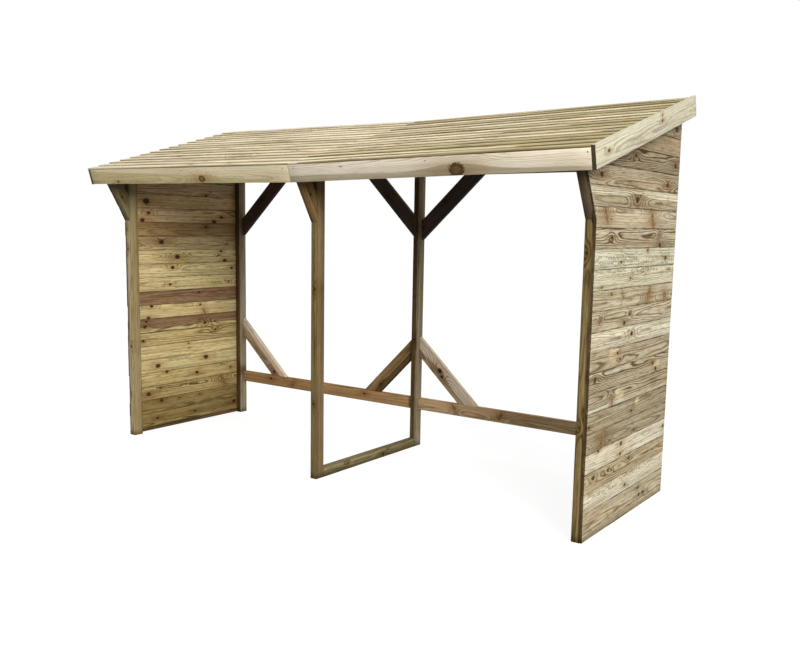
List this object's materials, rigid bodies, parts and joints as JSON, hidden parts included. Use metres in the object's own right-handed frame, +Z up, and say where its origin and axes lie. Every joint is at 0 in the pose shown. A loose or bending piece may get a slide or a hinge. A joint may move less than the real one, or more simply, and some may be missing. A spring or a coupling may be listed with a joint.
{
  "type": "log store",
  "caption": "Open-fronted timber log store with boarded ends, a middle frame, knee braces and a boarded lean-to roof that falls to the front; split logs stack in its bays.",
  "frame": {"origin": "on the ground, in the middle of the outline seen from above", "axes": "+X along the front to the right, +Y from the front to the back, +Z up"},
  "size_m": [3.5, 1.2889, 2.1569],
  "materials": {
    "frame_timber": "treated sawn softwood",
    "back_timber": "treated sawn softwood",
    "cladding": "treated planed softwood",
    "roof_boards": "treated planed softwood",
    "fascia": "treated planed softwood",
    "barge_board": "treated planed softwood"
  },
  "bodies": {
    "root": {"left_front_post": "frame_timber", "left_back_post": "frame_timber", "centre_front_post": "frame_timber", "centre_back_post": "frame_timber", "right_front_post": "frame_timber", "right_back_post": "frame_timber", "centre_foot_rail": "frame_timber", "left_rafter": "frame_timber", "centre_rafter": "frame_timber", "right_rafter": "frame_timber", "left_knee_brace": "frame_timber", "centre_knee_brace": "frame_timber", "right_knee_brace": "frame_timber", "left_lower_rail": "back_timber", "right_lower_rail": "back_timber", "left_upper_rail": "back_timber", "right_upper_rail": "back_timber", "left_bay_lower_left_brace": "back_timber", "left_bay_lower_right_brace": "back_timber", "right_bay_lower_left_brace": "back_timber", "right_bay_lower_right_brace": "back_timber", "left_bay_upper_left_brace": "back_timber", "left_bay_upper_right_brace": "back_timber", "right_bay_upper_left_brace": "back_timber", "right_bay_upper_right_brace": "back_timber", "left_cladding": "cladding", "right_cladding": "cladding", "left_roof_boards": "roof_boards", "right_roof_boards": "roof_boards", "left_fascia": "fascia", "right_fascia": "fascia", "left_barge_board": "barge_board", "right_barge_board": "barge_board"}
  },
  "joints": []
}
